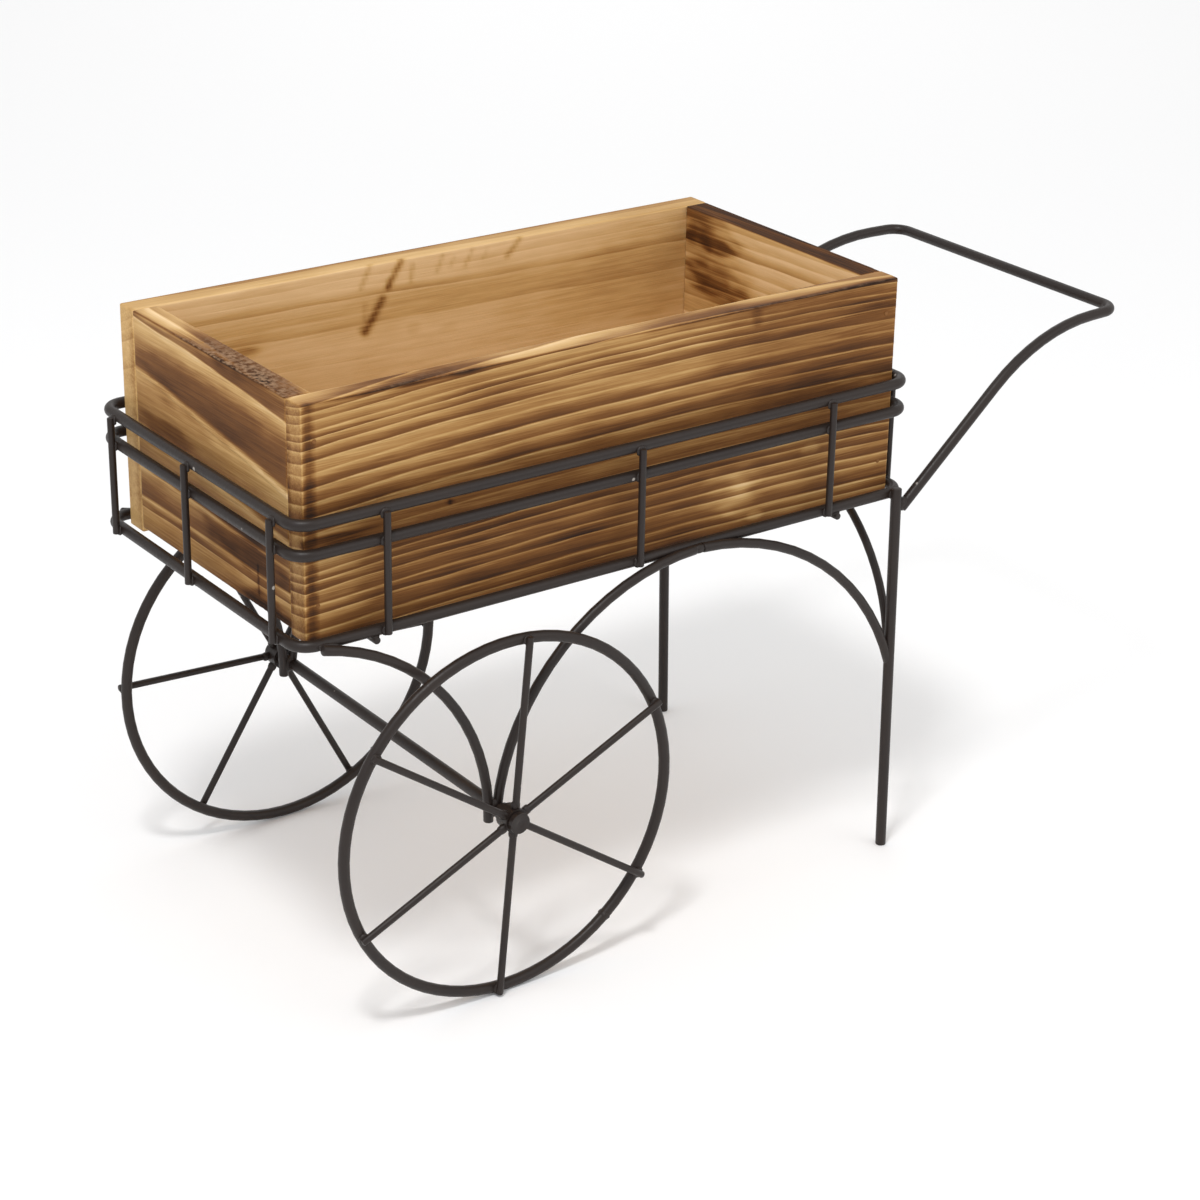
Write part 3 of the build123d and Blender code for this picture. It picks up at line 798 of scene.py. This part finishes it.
# %% Grain of each board
# Distances are in mm from the middle of the board: along the grain, up, and out through its outer face.
# face is how far out the face lies on which the lines and streaks are drawn.
# pith is how far up and out the middle of the tree lies, and seed picks the board's own noise.
# bow is how far the lines rise at the two ends, and wander is how far they stray from that sweep.
# lines are the year lines from the top down: height, darkness, and share of the bow.
# other_side is how dark the lines of the other face are: strong outside the box and faint inside it.
# torch is how far the flame went on a surface that faces out, in, up or along, and patches how uneven it was.
# ash is how much pale crust is left on a charred top edge.
# burns are a place, a reach each way, and an amount, which is negative where the wood stayed pale; two
# of them are partly painted shade of the rails.
# streaks are burns along a short line on that face: its two ends, width and amount.
BOARD_GRAIN = {
    "side_board_left": {
        "grain": X, "out": -Y, "face": 6, "pith": (155, -30), "seed": 11,
        "bow": (-7.5, -2.2), "wander": 0.5,
        "lines": (
            (54, 0.7, 1.0), (50.5, 0.8, 1.0), (46, 0.45, 1.0), (43, 0.85, 1.0), (39, 0.85, 1.0),
            (33.5, 0.9, 1.0), (28.5, 0.35, 1.0), (22, 1.0, 1.0), (16, 0.8, 1.0), (9, 1.0, 0.9),
            (2, 0.7, 0.9), (-4, 0.4, 0.8), (-11, 0.5, 0.8), (-15.5, 0.7, 0.8), (-19.5, 0.9, 0.75),
            (-24, 0.9, 0.7), (-30, 0.8, 0.7), (-34.5, 0.9, 0.65), (-42, 0.9, 0.6), (-46.5, 0.8, 0.6),
            (-51, 0.8, 0.6),
        ),
        "other_side": 0.3,
        "torch": {"out": 0.28, "in": -0.08, "up": 0.18, "end": 0.30}, "patches": 0.15, "ash": 0.25,
        "burns_and_painted_shade": (
            # The first burn darkens the lower part of the near face: partly torch, partly painted shade of
            # the rails.
            ((10, -30, 6), (260, 44, 6), 0.27), ((-140, -24, 6), (22, 22, 6), -0.20),
            ((120, 28, 6), (70, 40, 6), 0.24), ((59, -31, 6), (13, 9, 6), -0.20),
            ((66, -37, 6), (11, 8, 6), -0.16), ((71, -27, 6), (9, 7, 6), -0.12),
            ((106, -21, 6), (5, 3, 4), -0.20), ((76, -46, 6), (4, 3, 4), -0.28),
            ((105, -32, 6), (60, 22, 6), -0.20), ((-83.5, -4.2, 6), (1.4, 1.1, 2), 1.0),
            ((-149, 0, 6), (2.5, 70, 4), 0.44), ((73, 46, 6), (3, 4, 3), 0.24),
            ((-137, -8.3, 6), (22, 2.4, 4), 0.75), ((141, 37.5, 6), (19, 3, 4), 0.12),
            ((-153, 0, -6), (2, 80, 3), 0.30), ((-93, 51, 0), (34, 3, 8), 0.42),
            ((-102, 51.5, 6), (44, 2.0, 2.4), 0.50), ((-30, 51, 0), (44, 3, 7), -0.28),
            ((45, 51, 1), (34, 3, 7), 0.20), ((95, 51.5, 6), (85, 1.8, 2.6), 0.42),
        ),
        "streaks": (),
    },
    "side_board_right": {
        "grain": X, "out": Y, "face": -6, "pith": (170, 60), "seed": 23,
        "bow": (3.0, -2.0), "wander": 1.6,
        "lines": (
            (54, 0.2, 0.3), (49, 0.06, 0.4), (44.5, 0.2, 0.5), (40.5, 0.08, 0.7), (35, 0.4, 0.8),
            (28, 0.06, 0.9), (22.5, 0.24, 1.0), (15, 0.06, 1.0), (11, 0.05, 1.0), (7, 0.1, 1.0),
            (0, 0.05, 1.0), (-5, 0.05, 1.0), (-9, 0.1, 1.0), (-17, 0.05, 1.0), (-24, 0.08, 1.0),
            (-29, 0.05, 1.0), (-33, 0.05, 1.0), (-38, 0.1, 1.0), (-46, 0.05, 1.0), (-54, 0.08, 1.0),
        ),
        "other_side": 0.8,
        "torch": {"out": 0.34, "in": -0.10, "up": 0.20, "end": 0.10}, "patches": 0.18, "ash": 0.0,
        "burns_and_painted_shade": (
            ((-100, 22, -6), (9, 2.5, 4), 0.40), ((90, 10, -6), (60, 30, 6), 0.10),
            ((-20, 55, -6), (150, 16, 6), -0.16), ((0, 29, -6), (230, 7.5, 4), 0.13),
            ((115, 24, -6), (34, 22, 4), 0.12), ((-13, 17, -6), (4, 3.5, 3), 0.10),
            ((-39, 21, -6), (2.6, 2.6, 3), 0.30), ((-25.5, 41, -6), (2, 2.6, 3), 0.25),
            ((6, 14, -6), (5, 3, 3), 0.09), ((-70, -28, 6), (90, 24, 6), 0.26),
            ((95, 25, 6), (50, 16, 6), 0.30), ((30, -14, 6), (16, 10, 6), -0.18),
            ((-153, 0, -6), (2, 80, 4.5), 0.24), ((130, -40, 6), (26, 12, 6), 0.25),
            ((-20, 51.5, 6), (150, 2.0, 3), 0.35),
        ),
        "streaks": (
            ((-19, 50), (-26, 39), 1.6, 0.65), ((-29, 34), (-38, 20), 2.0, 0.70),
            ((-35, 51), (-40, 41), 1.3, 0.26), ((-13, 47), (-14, 40), 1.2, 0.26),
            ((3, 49), (0, 42), 1.1, 0.20), ((9, 47), (7, 43), 1.0, 0.14),
            ((19, 49), (15, 42), 1.1, 0.22), ((27, 48), (25, 44), 1.0, 0.12),
            ((45, 50), (38, 43), 1.4, 0.38), ((-38, 33), (-38.5, 26), 1.2, 0.16),
        ),
    },
    "end_board_front": {
        "grain": Y, "out": -X, "face": 6, "pith": (120, -50), "seed": 37,
        "bow": (-9.0, 7.0), "wander": 0.8,
        "lines": (
            (52, 0.6, 0.4), (43, 0.8, 0.55), (15.5, 1.0, 1.0), (-8, 0.7, 0.6), (-22.5, 0.8, 0.2),
            (-35.5, 0.7, 0.0), (-39.5, 0.75, 0.0), (-52, 0.6, 0.0),
        ),
        "other_side": 0.3,
        "torch": {"out": 0.12, "in": -0.05, "up": 0.25, "end": 0.3}, "patches": 0.16, "ash": 1.0,
        "burns_and_painted_shade": (
            ((0, -22, 6), (90, 34, 6), 0.24), ((-10, 27, 6), (80, 13, 6), 0.40),
            ((-42, 47, 6), (46, 5, 6), 0.38), ((-30, -27, 6), (36, 9, 6), 0.48),
            # The second burn here, a dark band along the foot near the left corner, is partly painted shadow
            # of the bottom rail.
            ((40, 3, 6), (22, 5, 6), 0.25), ((-45, -48, 6), (22, 5.5, 6), 0.80),
            ((40, -18, 6), (22, 4, 6), 0.18), ((-22, 50, -1), (44, 3, 9), 0.50),
            ((48, 50, 0), (22, 3, 9), -0.36), ((20, 51.5, 6), (55, 2.2, 2.4), 0.45),
        ),
        "streaks": (((-38, -31), (-38, -44), 0.7, 0.40),),
    },
    "end_board_rear": {
        "grain": Y, "out": X, "face": -6, "pith": (140, 40), "seed": 41,
        "bow": (2.0, -2.0), "wander": 1.2,
        "lines": (
            (53, 0.4, 1.0), (46, 0.4, 1.0), (41, 0.3, 1.0), (35, 0.7, 1.0), (28, 0.4, 1.0),
            (22, 0.3, 1.0), (15, 0.5, 1.0), (8, 0.4, 1.0), (-1, 0.5, 1.0), (-9, 0.4, 1.0),
            (-15, 0.5, 1.0), (-24, 0.4, 1.0), (-33, 0.5, 1.0), (-42, 0.4, 1.0), (-51, 0.4, 1.0),
        ),
        "other_side": 0.7,
        "torch": {"out": 0.34, "in": -0.10, "up": 1.2, "end": 0.3}, "patches": 0.16, "ash": 0.0,
        "burns_and_painted_shade": (
            ((45, 37.5, -6), (24, 5.5, 4), 0.72), ((38, 19, -6), (24, 11, 4), 0.62),
            ((58, 47, -6), (24, 5, 4), 0.70), ((54, 28, -6), (10, 14, 4), 0.30),
            ((-25, 32, -6), (45, 20, 4), -0.14), ((20, 5, -6), (60, 9, 4), 0.18),
            ((-15, 18, 6), (46, 14, 6), 0.28), ((35, -34, 6), (40, 12, 6), 0.24),
            ((-44, -12, 6), (14, 9, 6), -0.15),
        ),
        "streaks": (),
    },
}

for node, board in BOARD_GRAIN.items():
    low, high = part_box(node)
    board["half_length"] = (high - low).dot(board["grain"]) / 2 / MM
    print(node, len(board["lines"]), "year lines,", len(board["burns_and_painted_shade"]), "burns_and_painted_shade")

# %% [markdown]
# A point in the wood belongs to the ring that comes out on the given face at some height, and that height is
# looked up between the year lines. Two noises let it wander: a slow one for the stem, and a quick one for the
# ripples of the grain. A line is darker or fainter along its length, and a little fainter on sawn ends.

# %% Rings at a point
# Lengths of the waves in mm, along the grain, up and out.
STEM_WAVES = (60, 30, 1)
RIPPLE_WAVES = (26, 5, 9)
RIPPLE_HEIGHT = 0.45
LINE_WAVE = 40
YEARS_APART = 5.3
LINE_FADE = 0.5
END_FADE = 0.25


def waves(along, up, out, lengths, seed):
    """Smooth noise between about -1 and 1, with waves of the given lengths."""
    return noise.noise(Vector((along / lengths[0], up / lengths[1], out / lengths[2] + seed)))


def year_lines(board, along):
    """Heights of a board's year lines at a place along it, from the top down."""
    start, end = board["bow"]
    run = along / board["half_length"]
    bow = (end - start) / 2 * run + (end + start) / 2 * run**2
    return [height + share * bow for height, _, share in board["lines"]]


def ring_count(board, along, up, out):
    """How many year lines lie above a point, with the part of the next year as a fraction."""
    pith_up, pith_out = board["pith"]
    reach = (up - pith_up) ** 2 + (out - pith_out) ** 2 - (board["face"] - pith_out) ** 2
    height = pith_up - math.sqrt(reach)
    height += board["wander"] * waves(along, height, 0, STEM_WAVES, board["seed"])
    height += RIPPLE_HEIGHT * waves(along, height, out, RIPPLE_WAVES, board["seed"])
    lines = year_lines(board, along)
    year = sum(line >= height for line in lines[1:-1])
    return year + (lines[year] - height) / (lines[year] - lines[year + 1])


def line_darkness(board, count, along, facing):
    """How dark the line at the end of a point's year is, which comes and goes along the board."""
    along_facing, _, out_facing = facing
    year = min(max(math.floor(count) + 1, 0), len(board["lines"]) - 1)
    fade = 1 + LINE_FADE * noise.noise(Vector((along / LINE_WAVE, YEARS_APART * year, board["seed"])))
    on_other_side = min(0, out_facing * math.copysign(1, board["face"])) ** 2
    dark = board["lines"][year][1] * (1 - on_other_side) + board["other_side"] * on_other_side
    return dark * fade * (1 - END_FADE * along_facing**2)


front_grain = BOARD_GRAIN["end_board_front"]
front_middle = (0, 0, front_grain["face"])
print("the middle of the front board lies in year", round(ring_count(front_grain, *front_middle), 2))

# %% [markdown]
# The torching is a sum: an amount for the way the surface faces, patches where the flame lingered, more along
# an upper outer edge and less along an upright corner, and the burns and streaks. Two burns are partly
# painted shade of the rails. A burn's edge is ragged, and a wide one is less so for its size.

# %% Torching and painted shade at a point
TORCH_SEED = 100
BROAD_WAVES, BROAD_SHARE = (80, 26, 30), 0.7
FLAME_WAVES, FLAME_SHARE = (24, 8, 20), 0.4
RAGGED_WAVES, RAGGED = (11, 3.5, 3.5), 0.8
RAGGED_REACH = 24
TOP_EDGE_BURN = 1.6
# The upright outer corners are painted paler by this much.
UPRIGHT_CORNER_PALING = 0.8
BURN_LIMIT = 3
PALEST, CHARRED = -0.3, 1.2


def by_facing(amounts, facing):
    """An amount for the way a surface faces: out of or into the box, up or down, or along the grain."""
    along_facing, up_facing, out_facing = facing
    amount = out_facing**2 * amounts["out" if out_facing > 0 else "in"]
    return amount + up_facing**2 * amounts["up"] + along_facing**2 * amounts["end"]


def streaked(board, along, up):
    """What the streaks add at a place on the face that they are drawn on."""
    amount = 0
    for start, end, width, strength in board["streaks"]:
        run = Vector(end) - Vector(start)
        step = Vector((along, up)) - Vector(start)
        share = min(1, max(0, step.dot(run) / run.length_squared))
        amount += strength * math.exp(-(((step - share * run).length / width) ** 2))
    return amount


def torching_and_painted_shade(board, along, up, out, facing):
    """How far the flame went at a point, with the painted shade of a few burns added; below 0 where palest.
    """
    along_facing, up_facing, out_facing = facing
    seed = board["seed"] + TORCH_SEED
    broad = BROAD_SHARE * waves(along, up, out, BROAD_WAVES, seed)
    flame = FLAME_SHARE * waves(along, up, out, FLAME_WAVES, seed)
    ragged = RAGGED * waves(along, up, out, RAGGED_WAVES, seed)
    amount = by_facing(board["torch"], facing) + board["patches"] * (broad + flame)
    amount += TOP_EDGE_BURN * max(0, up_facing * out_facing) ** 2
    amount -= UPRIGHT_CORNER_PALING * (along_facing * out_facing) ** 2
    # A few of these burns are partly painted shade of the rails, not only torching.
    for place, reach, strength in board["burns_and_painted_shade"]:
        distance = sum(((a - b) / r) ** 2 for a, b, r in zip((along, up, out), place, reach))
        if distance < BURN_LIMIT:
            edge = ragged * min(1, RAGGED_REACH / reach[0])
            amount += strength * math.exp(-(max(0, distance + edge) ** 2))
    if out_facing * board["face"] > 0:
        amount += streaked(board, along, up)
    return min(CHARRED, max(PALEST, amount))


print("and is torched", round(torching_and_painted_shade(front_grain, *front_middle, (0, 0, 1)), 2))

# %% [markdown]
# After the torch, a wire brush takes out the soft spring wood and leaves the hard autumn wood standing. It
# goes deepest on the outer faces, where the wood is charred, and between dark lines. On the charred top
# edges a crust is left, which has crumbled away in places. All of this is worked out at each vertex and kept
# there: in attributes for the colours, and in a vertex group for the depth of the brushing.

# %% Brushing at each vertex
BRUSHED = {"out": 1.0, "in": 0.12, "up": 0.45, "end": 0.25}
LEAST_BRUSHED = 0.3
LATE_WOOD_CREST = 1.6
CRUST_FROM = 0.35
CRUST_RISE = 2.4
CRUMB = 2.6
CRUMBLE = 2


def in_board(board, vector):
    """A vector's parts along the grain, up, and out of the board."""
    return vector.dot(board["grain"]), vector.z, vector.dot(board["out"])


def brush_depth(facing, count, dark, burn_and_painted_shade):
    """How deep the brush went, as a share of its deepest."""
    charred = LEAST_BRUSHED + (1 - LEAST_BRUSHED) * max(0, burn_and_painted_shade) ** 0.5
    return by_facing(BRUSHED, facing) * charred * (1 - dark * (count % 1) ** LATE_WOOD_CREST)


for node, piece in boards.items():
    board = BOARD_GRAIN[node]
    centre = middle(node)
    at_vertex = {"rings": [], "line_dark": [], "burn_and_painted_shade": [], "crust": []}
    places = []
    brushed = piece.vertex_groups.new(name="brushed")
    for vertex in piece.data.vertices:
        place = in_board(board, (vertex.co - centre) / MM)
        facing = in_board(board, vertex.normal)
        count = ring_count(board, *place)
        dark = line_darkness(board, count, place[0], facing)
        burn_and_painted_shade = torching_and_painted_shade(board, *place, facing)
        crust = board["ash"] * facing[1] ** 2 * min(1, CRUST_RISE * max(0, burn_and_painted_shade - CRUST_FROM))
        for values, value in zip(at_vertex.values(), (count, dark, burn_and_painted_shade, crust)):
            values.append(value)
        places.extend(part * MM for part in place)
        crumbled = CRUMBLE * crust * abs(noise.noise(Vector(place) / CRUMB))
        depth = min(1, brush_depth(facing, count, dark, burn_and_painted_shade) + crumbled)
        brushed.add([vertex.index], depth, "REPLACE")
    for name, values in at_vertex.items():
        piece.data.attributes.new(name, "FLOAT", "POINT").data.foreach_set("value", values)
    piece.data.attributes.new("grain_place", "FLOAT_VECTOR", "POINT").data.foreach_set("vector", places)
    ring_span = max(at_vertex["rings"]) - min(at_vertex["rings"])
    mean_burn_and_painted_shade = sum(at_vertex["burn_and_painted_shade"]) / len(at_vertex["burn_and_painted_shade"])
    print(node, round(ring_span, 1), "rings, torched", round(mean_burn_and_painted_shade, 2), "on average")

# %% [markdown]
# A Displace modifier does the brushing. It moves each vertex by its share in the vertex group, inwards only,
# so that the board never grows, and it is then applied.

# %% Brushed relief
BRUSH_DEPTH = 0.42 * MM
BOARD_CREASE = math.radians(50)

for node, piece in boards.items():
    select_only(piece)
    relief = piece.modifiers.new("brushing", "DISPLACE")
    relief.vertex_group = "brushed"
    relief.mid_level = 0
    relief.strength = -BRUSH_DEPTH
    bpy.ops.object.modifier_apply(modifier=relief.name)
    bpy.ops.object.shade_smooth_by_angle(angle=BOARD_CREASE)
    stands_for(piece, node)
print(len(boards), "boards brushed, at most", round(BRUSH_DEPTH / MM, 2), "mm deep")

# %% [markdown]
# Torched pine: each year starts pale and ends in a dark line, and the torch turns the wood from straw through
# tan to brown, and to char where it stayed longest. Noise that is stretched along the grain gives the figure
# of the wood: fine fibres, broader strands and tongues of flame. The ash has an even grain.

# %% Figure of the pine
# Lengths along the grain and widths across it, in mm.
PINE_FIGURE = {"fibre": (26, 0.6), "strand": (120, 1.5), "flame": (18, 2.6), "ash": (2.6, 2.6)}
GRAIN_OUTPUTS = {"grain_place": "Vector", "rings": "Fac", "line_dark": "Fac", "burn_and_painted_shade": "Fac", "crust": "Fac"}

pine = new_material("torched_brushed_pine")
grain = {}
for name, output in GRAIN_OUTPUTS.items():
    grain[name] = add_node(pine, "Attribute", {}, attribute_name=name).outputs[output]
figure = {}
for name, (length, width) in PINE_FIGURE.items():
    scale = (1 / (length * MM), 1 / (width * MM), 1 / (width * MM))
    stretched = add_node(pine, "Mapping", {"Vector": grain["grain_place"], "Scale": scale})
    noise_inputs = {"Vector": stretched, "Scale": 1, "Detail": 3, "Roughness": 0.6}
    figure[name] = add_node(pine, "TexNoise", noise_inputs)
print("figure of the pine with", len(pine.node_tree.nodes), "nodes")

# %% [markdown]
# Next the seasons. The count of rings, frayed by the fibres, gives the part of the year at each point. The
# late wood grows towards the end of the year and stops at its line, and the early wood is the pale start of
# the next one; just below each line it is painted paler still, partly its own tone and partly a painted
# highlight on the edge under the line. The hotter the torch was, the sooner in the year the brown starts, so
# a power of the season is taken, and its exponent falls with the scorching.

# %% Seasons of the pine
FLAME_TONGUES = 0.22
FRAYING = 0.16
EARLY_POWER = 7.0

# The burn attribute carries some painted shade of the rails along with the torching.
flaming = {0: figure["flame"], 1: FLAME_TONGUES, 2: grain["burn_and_painted_shade"]}
scorch_and_painted_shade = add_node(pine, "Math", flaming, operation="MULTIPLY_ADD")
fraying = {0: figure["fibre"], 1: FRAYING, 2: grain["rings"]}
frayed_ring = add_node(pine, "Math", fraying, operation="MULTIPLY_ADD")
season = add_node(pine, "Math", {0: frayed_ring}, operation="FRACT")
browning_range = {"Value": scorch_and_painted_shade, "From Min": 0.1, "From Max": 0.9, "To Min": 1.35, "To Max": 0.35}
browning = add_node(pine, "MapRange", browning_range)
year_end_range = {"Value": season, "From Min": 0.90, "From Max": 1.0, "To Min": 1, "To Max": 0}
year_end = add_node(pine, "MapRange", year_end_range, interpolation_type="SMOOTHSTEP")
brown_season = add_node(pine, "Math", {0: season, 1: browning}, operation="POWER")
late_wood = add_node(pine, "Math", {0: brown_season, 1: year_end}, operation="MULTIPLY")
late_line = add_node(pine, "Math", {0: late_wood, 1: grain["line_dark"]}, operation="MULTIPLY")
year_left = add_node(pine, "Math", {0: 1.0, 1: season}, operation="SUBTRACT")
# The paleness just below each line is partly the early wood's own tone and partly a painted highlight.
early_wood_and_highlight = add_node(pine, "Math", {0: year_left, 1: EARLY_POWER}, operation="POWER")
early_line_and_highlight = add_node(pine, "Math", {0: early_wood_and_highlight, 1: grain["line_dark"]}, operation="MULTIPLY")
print("with its seasons", len(pine.node_tree.nodes), "nodes")

# %% [markdown]
# Then the darkness. Scorching, with the painted shade of the rails that rides on it, and late wood each add
# their share, the early wood and its painted highlight take some away, and the fibres make it uneven, more so
# where the wood is scorched. The darkness is looked up in a row of tones.

# %% Tones of the pine
PINE_TONES = (
    (0.0, "#e9c898"),
    (0.20, "#caa369"),
    (0.40, "#a17642"),
    (0.58, "#774c23"),
    (0.78, "#543215"),
    (1.0, "#2a190f"),
)
CLEAN_DARKNESS, SCORCH_DARKNESS = 0.10, 0.52
# The negative share paints the pale early wood together with a painted highlight below each line.
LATE_DARKNESS, EARLY_AND_HIGHLIGHT_DARKNESS = 0.44, -0.14
CLEAN_UNEVENNESS, SCORCH_UNEVENNESS = 0.11, 0.36

fibres = add_node(pine, "Math", {0: figure["fibre"], 1: figure["strand"]}, operation="ADD")
fibre_tint = add_node(pine, "Math", {0: fibres, 1: 1.0}, operation="SUBTRACT")
scorched_fibres = {0: scorch_and_painted_shade, 1: SCORCH_UNEVENNESS, 2: CLEAN_UNEVENNESS}
unevenness = add_node(pine, "Math", scorched_fibres, operation="MULTIPLY_ADD")
darkness = CLEAN_DARKNESS
for part, share in (
    (scorch_and_painted_shade, SCORCH_DARKNESS),
    (late_line, LATE_DARKNESS),
    (early_line_and_highlight, EARLY_AND_HIGHLIGHT_DARKNESS),
    (fibre_tint, unevenness),
):
    darkness = add_node(pine, "Math", {0: part, 1: share, 2: darkness}, operation="MULTIPLY_ADD")
tones = add_node(pine, "ValToRGB", {"Fac": darkness})
tones.color_ramp.elements[1].position = PINE_TONES[-1][0]
for position, _ in PINE_TONES[1:-1]:
    tones.color_ramp.elements.new(position)
for element, (_, colour) in zip(tones.color_ramp.elements, PINE_TONES):
    element.color = linear(colour)
print("with its", len(PINE_TONES), "tones", len(pine.node_tree.nodes), "nodes")

# %% [markdown]
# Last the surface. Specks of pale ash lie on the crust of the charred top edges. Bare pine is matt, char is
# more so, and the fibres stand up a little between the brush marks.

# %% Surface of the pine
FIBRE_HEIGHT = 0.25 * MM

ash_range = {"Value": figure["ash"], "From Min": 0.42, "From Max": 0.60, "To Min": 0, "To Max": 0.85}
ash_specks = add_node(pine, "MapRange", ash_range)
ash = add_node(pine, "Math", {0: ash_specks, 1: grain["crust"]}, operation="MULTIPLY")
ashen_tones = {"Factor": ash, "A": tones, "B": linear("#98785a")}
matt_range = {"Value": scorch_and_painted_shade, "From Min": 0.2, "From Max": 1.2, "To Min": 0.55, "To Max": 0.85}
raised_fibres = {"Height": figure["fibre"], "Strength": 0.45, "Distance": FIBRE_HEIGHT}
pine_shader = add_node(
    pine,
    "BsdfPrincipled",
    {
        "Base Color": add_node(pine, "Mix", ashen_tones, data_type="RGBA"),
        "Roughness": add_node(pine, "MapRange", matt_range),
        "Normal": add_node(pine, "Bump", raised_fibres),
        "IOR": 1.5,
        "Specular IOR Level": 0.18,
    },
)
add_node(pine, "OutputMaterial", {"Surface": pine_shader})
dress(boards.values(), pine)

# %% [markdown]
# The floor of the box is a sheet of thin plywood, whose face was peeled off the log in one long ribbon: pale,
# with wide flames of darker wood along it. It keeps its solid.

# %% Plywood floor
PLY_LENGTH = 160 * MM
PLY_BAND = 9 * MM
PLY_RELIEF = 0.3 * MM

plywood = new_material("rotary_cut_plywood")
place = add_node(plywood, "TexCoord", {}).outputs["Object"]
ply_scale = (1 / PLY_LENGTH, 1 / PLY_BAND, 1 / PLY_BAND)
stretched = add_node(plywood, "Mapping", {"Vector": place, "Scale": ply_scale})
ply_noise = {"Vector": stretched, "Scale": 1, "Detail": 6, "Roughness": 0.62, "Distortion": 0.6}
ply_figure = add_node(plywood, "TexNoise", ply_noise)
flame_range = {"Value": ply_figure, "From Min": 0.34, "From Max": 0.66, "To Min": 0, "To Max": 1}
ply_flames = add_node(plywood, "MapRange", flame_range)
ply_tones = {"Factor": ply_flames, "A": linear("#a87a4a"), "B": linear("#dcb98a")}
raised_flames = {"Height": ply_figure, "Strength": 0.3, "Distance": PLY_RELIEF}
ply_shader = add_node(
    plywood,
    "BsdfPrincipled",
    {
        "Base Color": add_node(plywood, "Mix", ply_tones, data_type="RGBA"),
        "Normal": add_node(plywood, "Bump", raised_flames),
        "Roughness": 0.65,
        "IOR": 1.5,
    },
)
add_node(plywood, "OutputMaterial", {"Surface": ply_shader})
dress([frame["nodes"]["bottom_panel"]], plywood)

# %% [markdown]
# The nails under the floor are galvanised, dull grey and a little spotty. The boards are held at the corners
# by thin brads, which the torch browned along with the wood, so that they hardly show. Both keep their
# solids, and both finishes are two tones in a fine noise.

# %% Nails and brads
# For each node: the finish, the size of its spots in mm, its two tones, and the shader's constants.
SOOTY = {"Roughness": 0.8, "IOR": 1.5, "Specular IOR Level": 0.15}
ZINCED = {"Roughness": 0.48, "Metallic": 1}
NAIL_FINISHES = {
    "bottom_nails": ("galvanised_nail_steel", 1.2, "#77736e", "#a8a39c", ZINCED),
    "corner_nails": ("browned_brad_steel", 0.6, "#6e4a2a", "#8f6238", SOOTY),
}

for node, (name, spot, dark, pale, constants) in NAIL_FINISHES.items():
    steel = new_material(name)
    place = add_node(steel, "TexCoord", {}).outputs["Object"]
    spots = add_node(steel, "TexNoise", {"Vector": place, "Scale": 1 / (spot * MM), "Detail": 2})
    steel_tones = {"Factor": spots, "A": linear(dark), "B": linear(pale)}
    steel_colour = add_node(steel, "Mix", steel_tones, data_type="RGBA")
    steel_shader = add_node(steel, "BsdfPrincipled", {"Base Color": steel_colour, **constants})
    add_node(steel, "OutputMaterial", {"Surface": steel_shader})
    dress([frame["nodes"][node]], steel)

# %% [markdown]
# The wagon stands on a wide floor of matt white paper, so that only its soft shadow shows where it stands.

# %% Floor
FLOOR_SIZE = 40.0

bpy.ops.object.select_all(action="DESELECT")
bpy.ops.mesh.primitive_plane_add(size=FLOOR_SIZE)
floor = bpy.context.object
floor.name = "studio_floor"

paper = new_material("matt_white_paper")
paper_finish = {"Base Color": linear("#fafafa"), "Roughness": 0.9, "Specular IOR Level": 0.2}
add_node(paper, "OutputMaterial", {"Surface": add_node(paper, "BsdfPrincipled", paper_finish)})
dress([floor], paper)

# %% [markdown]
# The key lamp hangs high in front of the wagon, a little to the left, and is small enough to draw the wheels'
# shadows on the floor as faint arcs. Two larger and weaker lamps fill in from the sides, a weak one keeps the
# far floor white, and the rest of the light is a plain pale surround. The picture keeps the plain display
# colours, so that white stays white.

# %% Light
WAGON = Vector((-0.03, 0, 0.12))
# For each lamp: where it hangs and where it points, in metres, its size, its power in watts, and its tint.
SOFTBOXES = {
    "key": (Vector((-0.76, -0.57, 1.9)), WAGON, 0.28, 14.5, "#ffffff"),
    "front_right": (Vector((1.0, -1.8, 1.4)), WAGON, 1.4, 6.0, "#ffffff"),
    "front_left": (Vector((-1.6, -0.8, 1.2)), WAGON, 1.2, 2.5, "#d5e4ff"),
    "far_floor": (Vector((1.2, 1.7, 1.2)), Vector((1.2, 1.7, 0)), 1.0, 3.0, "#ffffff"),
}
SURROUND_TINT = "#fbfbfb"
SURROUND_STRENGTH = 0.83

for name, (place, aim, size, power, tint) in SOFTBOXES.items():
    bpy.ops.object.light_add(type="AREA", location=place)
    lamp = bpy.context.object
    lamp.name = f"{name}_softbox"
    lamp.data.size = size
    lamp.data.energy = power
    lamp.data.color = linear(tint)[:3]
    lamp.rotation_euler = (aim - place).to_track_quat("-Z", "Y").to_euler()

surround = bpy.data.worlds.new("pale_surround")
bpy.context.scene.world = surround
surround.use_nodes = True
background = surround.node_tree.nodes["Background"]
background.inputs["Color"].default_value = linear(SURROUND_TINT)
background.inputs["Strength"].default_value = SURROUND_STRENGTH
bpy.context.scene.view_settings.view_transform = "Standard"
print(len(SOFTBOXES), "softboxes in a surround of strength", SURROUND_STRENGTH)
